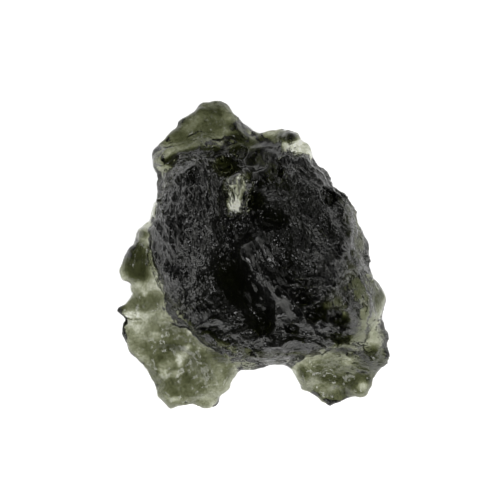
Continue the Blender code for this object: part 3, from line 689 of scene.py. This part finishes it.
def maths(tree, operation, first, second=None, clamp=False):
    node = add_node(tree, "ShaderNodeMath", operation=operation, use_clamp=clamp)
    for i, value in enumerate((first, second)):
        if value is None:
            continue
        if isinstance(value, (int, float)):
            node.inputs[i].default_value = value
        else:
            tree.links.new(value, node.inputs[i])
    return node.outputs[0]


def vector_maths(tree, operation, first, second):
    node = add_node(tree, "ShaderNodeVectorMath", operation=operation)
    tree.links.new(first, node.inputs[0])
    tree.links.new(second, node.inputs[1])
    return node.outputs[0]


def scaled(tree, vector, scale):
    """The vector times a number, or times what another node gives."""
    node = add_node(tree, "ShaderNodeVectorMath", operation="SCALE")
    tree.links.new(vector, node.inputs[0])
    if isinstance(scale, float):
        node.inputs["Scale"].default_value = scale
    else:
        tree.links.new(scale, node.inputs["Scale"])
    return node.outputs[0]


def noise(tree, place, scale, **settings):
    """Soft noise; the settings are the noise's own inputs, by their names."""
    node = add_node(tree, "ShaderNodeTexNoise", noise_dimensions="3D")
    node.inputs["Scale"].default_value = scale
    for name, value in settings.items():
        node.inputs[name].default_value = value
    tree.links.new(place, node.inputs["Vector"])
    return node


def new_group(name, kind, inputs, outputs):
    """A node group with named inputs and outputs, and the two nodes that stand for them."""
    tree = bpy.data.node_groups.new(name, kind)
    for socket, kind_of_socket in inputs.items():
        tree.interface.new_socket(socket, in_out="INPUT", socket_type=kind_of_socket)
    for socket, kind_of_socket in outputs.items():
        tree.interface.new_socket(socket, in_out="OUTPUT", socket_type=kind_of_socket)
    return tree, add_node(tree, "NodeGroupInput"), add_node(tree, "NodeGroupOutput")


def turned(tree, place, given, size, invert=False):
    """The place turned, and measured in the sizes of a cup or a flute."""
    turn = add_node(tree, "ShaderNodeVectorRotate", rotation_type="EULER_XYZ", invert=invert)
    tree.links.new(place, turn.inputs["Vector"])
    tree.links.new(given.outputs["Turn"], turn.inputs["Rotation"])
    return vector_maths(tree, "DIVIDE", turn.outputs[0], given.outputs[size])


def ridges(tree, grain, top, steepness):
    """Ridges along the lines where the noise passes its middle."""
    off_middle = maths(tree, "ABSOLUTE", maths(tree, "SUBTRACT", grain.outputs["Fac"], 0.5))
    return maths(tree, "SUBTRACT", top, maths(tree, "MULTIPLY", off_middle, steepness))


def cups_group():
    """Crowded cups with sharp ridges between them; each can be tipped so that one side is a ledge."""
    tree, given, result = new_group("crowded cups", "GeometryNodeTree", {
        "Place": VECTOR, "Turn": VECTOR, "Cup size": VECTOR, "Depth": NUMBER, "Tip": NUMBER,
        "Irregularity": NUMBER}, {"Height": NUMBER})
    spaced = turned(tree, given.outputs["Place"], given, "Cup size")
    cells = add_node(tree, "ShaderNodeTexVoronoi", voronoi_dimensions="3D", feature="F1")
    cells.inputs["Scale"].default_value = 1.0
    tree.links.new(spaced, cells.inputs["Vector"])
    tree.links.new(given.outputs["Irregularity"], cells.inputs["Randomness"])
    bowl = maths(tree, "POWER", cells.outputs["Distance"], 2.0)
    from_middle = vector_maths(tree, "SUBTRACT", spaced, cells.outputs["Position"])
    parts = add_node(tree, "ShaderNodeSeparateXYZ")
    tree.links.new(from_middle, parts.inputs[0])
    tipped = maths(tree, "MULTIPLY", parts.outputs["Y"], given.outputs["Tip"])
    height = maths(tree, "ADD", maths(tree, "SUBTRACT", bowl, CUP_MEAN), tipped)
    tree.links.new(maths(tree, "MULTIPLY", height, given.outputs["Depth"]), result.inputs["Height"])
    return tree


def flutes_group():
    """Fine wandering ridges, drawn out in one direction."""
    tree, given, result = new_group("flutes", "GeometryNodeTree", {
        "Place": VECTOR, "Turn": VECTOR, "Flute size": VECTOR, "Depth": NUMBER}, {"Height": NUMBER})
    spaced = turned(tree, given.outputs["Place"], given, "Flute size")
    grain = noise(tree, spaced, 1.0, Detail=2.0, Roughness=0.55)
    ridge = ridges(tree, grain, *FLUTE_SHAPE)
    tree.links.new(maths(tree, "MULTIPLY", ridge, given.outputs["Depth"]), result.inputs["Height"])
    return tree


def relief_part(tree, group, place, values):
    """One kind of relief at a place, with its other inputs set by their names."""
    part = add_node(tree, "GeometryNodeGroup", node_tree=group)
    for name, value in values.items():
        part.inputs[name].default_value = value
    tree.links.new(place, part.inputs["Place"])
    return part.outputs["Height"]


def attribute_read(tree, name):
    """What was written into the mesh under a name."""
    reader = add_node(tree, "GeometryNodeInputNamedAttribute", data_type="FLOAT")
    reader.inputs["Name"].default_value = name
    return reader.outputs[0]


def relief_tree(cups, flutes):
    """Moves the skin in and out along its normal by the relief of every region together."""
    tree, given, result = new_group("stone relief", "GeometryNodeTree", {
        "Geometry": GEOMETRY, "Amount": NUMBER, "Grit depth": NUMBER, "Glass": MATERIAL},
        {"Geometry": GEOMETRY})
    place = add_node(tree, "GeometryNodeInputPosition")
    in_mm = scaled(tree, place.outputs[0], 1.0 / MM)
    wander = noise(tree, in_mm, WANDER_SCALE)
    shift = scaled(tree, wander.outputs["Color"], WANDER_REACH)
    warped = vector_maths(tree, "ADD", in_mm, shift)
    soft = noise(tree, in_mm, 1.0 / SWELL_SIZE, Detail=1.0)
    soft_height = maths(tree, "SUBTRACT", soft.outputs["Fac"], 0.5)
    total = None
    for name, numbers in RELIEF.items():
        degrees, cup_size, cup_depth, tip, flute_size, flute_depth = numbers[:6]
        small_size, small_depth, swell = numbers[6:]
        turn = (0.0, 0.0, math.radians(degrees))
        small = relief_part(tree, cups, in_mm, {
            "Turn": turn, "Cup size": small_size, "Depth": small_depth, "Irregularity": 1.0})
        cup = relief_part(tree, cups, warped, {
            "Turn": turn, "Cup size": cup_size, "Depth": cup_depth, "Tip": tip, "Irregularity": 1.0})
        flute = relief_part(tree, flutes, warped, {
            "Turn": turn, "Flute size": flute_size, "Depth": flute_depth})
        height = maths(tree, "ADD", cup, flute)
        height = maths(tree, "ADD", height, small)
        height = maths(tree, "ADD", height, maths(tree, "MULTIPLY", soft_height, swell))
        height = maths(tree, "MULTIPLY", height, attribute_read(tree, name))
        total = height if total is None else maths(tree, "ADD", total, height)
    grit = noise(tree, in_mm, GRIT_SCALE, Detail=3.0)
    grain = maths(tree, "SUBTRACT", grit.outputs["Fac"], 0.5)
    more = maths(tree, "MULTIPLY", attribute_read(tree, "grainy"), MORE_GRIT)
    grain = maths(tree, "MULTIPLY", grain, maths(tree, "ADD", more, 1.0))
    total = maths(tree, "ADD", total, maths(tree, "MULTIPLY", grain, given.outputs["Grit depth"]))
    total = maths(tree, "MULTIPLY", total, given.outputs["Amount"])
    facing = add_node(tree, "GeometryNodeInputNormal")
    push = scaled(tree, facing.outputs[0], maths(tree, "MULTIPLY", total, MM))
    move = add_node(tree, "GeometryNodeSetPosition")
    tree.links.new(given.outputs["Geometry"], move.inputs["Geometry"])
    tree.links.new(push, move.inputs["Offset"])
    real = add_node(tree, "GeometryNodeRealizeInstances")
    tree.links.new(move.outputs[0], real.inputs[0])
    paint = add_node(tree, "GeometryNodeSetMaterial")
    tree.links.new(real.outputs[0], paint.inputs["Geometry"])
    tree.links.new(given.outputs["Glass"], paint.inputs["Material"])
    tree.links.new(paint.outputs[0], result.inputs[0])
    return tree


def run_tree(obj, tree, values):
    """Applies a Geometry Nodes tree to the object with its inputs set by their names."""
    modifier = obj.modifiers.new(tree.name, "NODES")
    modifier.node_group = tree
    for socket in tree.interface.items_tree:
        if socket.in_out == "INPUT" and socket.name in values:
            modifier[socket.identifier] = values[socket.name]
    apply_modifiers(obj)


def fine_relief_group():
    """Hair-fine ridges drawn out in one direction, for the shading of the skin."""
    tree, given, result = new_group("fine flutes", "ShaderNodeTree", {
        "Place": VECTOR, "Turn": VECTOR, "Flute size": VECTOR, "Depth": NUMBER}, {"Height": NUMBER})
    wander = noise(tree, given.outputs["Place"], FINE_WANDER_SCALE)
    shift = scaled(tree, wander.outputs["Color"], FINE_WANDER_REACH)
    warped = vector_maths(tree, "ADD", given.outputs["Place"], shift)
    spaced = turned(tree, warped, given, "Flute size", invert=True)
    grain = noise(tree, spaced, 1.0, Detail=1.0)
    ridge = ridges(tree, grain, *FINE_FLUTE_SHAPE)
    tree.links.new(maths(tree, "MULTIPLY", ridge, given.outputs["Depth"]), result.inputs["Height"])
    return tree


def clouds(tree, place, scale, detail, low, high):
    """Soft clouds that run from a low to a high value."""
    cloud = noise(tree, place, scale, Detail=detail)
    levels = add_node(tree, "ShaderNodeMapRange")
    levels.inputs["From Min"].default_value = 0.3
    levels.inputs["From Max"].default_value = 0.7
    levels.inputs["To Min"].default_value = low
    levels.inputs["To Max"].default_value = high
    tree.links.new(cloud.outputs["Fac"], levels.inputs["Value"])
    return levels.outputs["Result"]


def fine_relief_height(tree, in_mm):
    """The hair-fine relief of every region together, with the etching and the pits, in mm."""
    fine = fine_relief_group()
    height = None
    for name, (degrees, flute_size, depth) in FINE_RELIEF.items():
        flutes = add_node(tree, "ShaderNodeGroup", node_tree=fine)
        flutes.inputs["Turn"].default_value = (0.0, 0.0, math.radians(degrees))
        flutes.inputs["Flute size"].default_value = flute_size
        flutes.inputs["Depth"].default_value = depth
        tree.links.new(in_mm, flutes.inputs["Place"])
        region = add_node(tree, "ShaderNodeAttribute", attribute_name=name)
        part = maths(tree, "MULTIPLY", flutes.outputs[0], region.outputs["Fac"])
        height = part if height is None else maths(tree, "ADD", height, part)
    etch = noise(tree, in_mm, ETCH_SCALE, Detail=3.0)
    pits = add_node(tree, "ShaderNodeTexVoronoi", voronoi_dimensions="3D", feature="F1")
    pits.inputs["Scale"].default_value = PIT_SCALE
    tree.links.new(in_mm, pits.inputs["Vector"])
    grainy = add_node(tree, "ShaderNodeAttribute", attribute_name="grainy")
    pit_depth = maths(tree, "MULTIPLY", grainy.outputs["Fac"], PIT_DEPTH)
    pitted = maths(tree, "MULTIPLY", pits.outputs["Distance"], pit_depth)
    etched = maths(tree, "MULTIPLY", etch.outputs["Fac"], ETCH_DEPTH)
    return maths(tree, "ADD", maths(tree, "ADD", height, etched), pitted)


def green_glass():
    """Clear bottle-green glass under a satin, etched skin."""
    material = bpy.data.materials.new("green glass")
    material.use_nodes = True
    tree = material.node_tree
    shader = tree.nodes["Principled BSDF"]
    shader.inputs["Transmission Weight"].default_value = 1.0
    shader.inputs["IOR"].default_value = 1.5
    shader.inputs["Sheen Weight"].default_value = 0.02
    shader.inputs["Sheen Roughness"].default_value = 0.6
    place = add_node(tree, "ShaderNodeTexCoord")
    in_mm = scaled(tree, place.outputs["Object"], 1.0 / MM)
    tint = add_node(tree, "ShaderNodeAttribute", attribute_name="tint")
    clouded = maths(tree, "MULTIPLY", tint.outputs["Fac"], clouds(tree, in_mm, *TINT_CLOUDS))
    streaks = clouds(tree, in_mm, *TINT_STREAKS)
    streaked = maths(tree, "MULTIPLY", clouded, streaks, clamp=True)
    colour = add_node(tree, "ShaderNodeCombineColor")
    for channel, share in TINT_HUE.items():
        tree.links.new(maths(tree, "POWER", streaked, TINT_POWER * share), colour.inputs[channel])
    tree.links.new(colour.outputs["Color"], shader.inputs["Base Color"])
    tree.links.new(clouds(tree, in_mm, *SATIN_CLOUDS), shader.inputs["Roughness"])
    bump = add_node(tree, "ShaderNodeBump")
    bump.inputs["Strength"].default_value = 1.0
    bump.inputs["Distance"].default_value = MM
    tree.links.new(fine_relief_height(tree, in_mm), bump.inputs["Height"])
    tree.links.new(bump.outputs["Normal"], shader.inputs["Normal"])
    depth = add_node(tree, "ShaderNodeVolumeAbsorption")
    depth.inputs["Color"].default_value = GLASS_COLOUR
    depth.inputs["Density"].default_value = GLASS_DENSITY
    tree.links.new(depth.outputs[0], tree.nodes["Material Output"].inputs["Volume"])
    return material


def thin_to(obj, most):
    """Leaves no more triangles than the limit, and most of them where the skin bends."""
    triangles = sum(len(polygon.vertices) - 2 for polygon in obj.data.polygons)
    if triangles > most:
        fewer = obj.modifiers.new("fewer faces", "DECIMATE")
        fewer.ratio = most / triangles
        apply_modifiers(obj)


def flatten_foot(mesh):
    """Keeps the skin of the resting spot on the table."""
    points = points_of(mesh)
    points[:, 2] = np.maximum(points[:, 2], 0.0)
    set_points(mesh, points)


def white_table():
    """A plain white table that glows a little, as a lit table for stones does."""
    material = bpy.data.materials.new("white table")
    material.use_nodes = True
    shader = material.node_tree.nodes["Principled BSDF"]
    shader.inputs["Base Color"].default_value = (0.9, 0.9, 0.9, 1.0)
    shader.inputs["Roughness"].default_value = 0.8
    shader.inputs["Emission Color"].default_value = (1.0, 1.0, 1.0, 1.0)
    shader.inputs["Emission Strength"].default_value = 0.85
    half = TABLE_HALF * MM
    mesh = bpy.data.meshes.new("table")
    corners = [(-half, -half, 0), (half, -half, 0), (half, half, 0), (-half, half, 0)]
    mesh.from_pydata(corners, [], [(0, 1, 2, 3)])
    mesh.materials.append(material)
    table = bpy.data.objects.new("table", mesh)
    table.location.z = -TABLE_GAP * MM
    bpy.context.scene.collection.objects.link(table)


def soft_room():
    """A white room that grows dark towards the ceiling, where the camera hangs."""
    world = bpy.data.worlds.new("soft room")
    world.use_nodes = True
    bpy.context.scene.world = world
    tree = world.node_tree
    background = tree.nodes["Background"]
    direction = add_node(tree, "ShaderNodeTexCoord")
    parts = add_node(tree, "ShaderNodeSeparateXYZ")
    tree.links.new(direction.outputs["Generated"], parts.inputs[0])
    shade = add_node(tree, "ShaderNodeValToRGB")
    stops = shade.color_ramp.elements
    for i, (height, colour) in enumerate(ROOM_COLOURS):
        stop = stops[i] if i < len(stops) else stops.new(height)
        stop.position = height
        stop.color = colour
    tree.links.new(parts.outputs["Z"], shade.inputs["Fac"])
    tree.links.new(shade.outputs["Color"], background.inputs["Color"])
    from_right = maths(tree, "MULTIPLY", parts.outputs["X"], MORE_FROM_RIGHT)
    from_front = maths(tree, "MULTIPLY", parts.outputs["Y"], -MORE_FROM_FRONT)
    uneven = maths(tree, "ADD", maths(tree, "ADD", from_right, from_front), ROOM_STRENGTH)
    tree.links.new(uneven, background.inputs["Strength"])


def soft_boxes():
    """Soft lamps round the stone, high enough to glint on its small facets."""
    for name, degrees, height, watts in SOFT_BOXES:
        lamp = bpy.data.lights.new(name, "AREA")
        lamp.shape = "DISK"
        lamp.size = BOX_SIZE * MM
        lamp.energy = watts
        box = bpy.data.objects.new(name, lamp)
        around, up = math.radians(degrees), math.radians(height)
        box.location = Vector((
            math.cos(around) * math.cos(up), math.sin(around) * math.cos(up), math.sin(up)
        )) * BOX_DISTANCE * MM
        box.rotation_euler = box.location.to_track_quat("Z", "Y").to_euler()
        bpy.context.scene.collection.objects.link(box)


def camera_above():
    """Looks straight down at the stone from far enough away that it shows hardly any depth."""
    lens = bpy.data.cameras.new("camera")
    lens.sensor_width = SENSOR
    lens.lens = SENSOR * (CAMERA_HEIGHT - STONE_MIDDLE) / PICTURE_WIDTH
    camera = bpy.data.objects.new("camera", lens)
    camera.location = (PICTURE_MIDDLE[0] * MM, PICTURE_MIDDLE[1] * MM, CAMERA_HEIGHT * MM)
    bpy.context.scene.collection.objects.link(camera)
    bpy.context.scene.camera = camera


def main():
    glass = green_glass()
    stone = stone_skin(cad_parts["moldavite"])
    soften(stone, "underside", underside_of(stone.data), UNDERSIDE_ROUNDS)
    carve_face(stone.data)
    hollow_back(stone.data)
    soften(stone, "hollows", underside_of(stone.data), HOLLOW_ROUNDS)
    mark_depth_look(stone.data)
    mark_regions(stone.data)
    tree = relief_tree(cups_group(), flutes_group())
    run_tree(stone, tree, {"Amount": 1.0, "Grit depth": GRIT_DEPTH, "Glass": glass})
    thin_to(stone, MOST_TRIANGLES)
    flatten_foot(stone.data)
    for polygon in stone.data.polygons:
        polygon.use_smooth = True
    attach(stone, "root")
    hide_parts("moldavite")
    white_table()
    soft_room()
    soft_boxes()
    camera_above()
    bpy.context.scene.view_settings.view_transform = "Standard"


main()
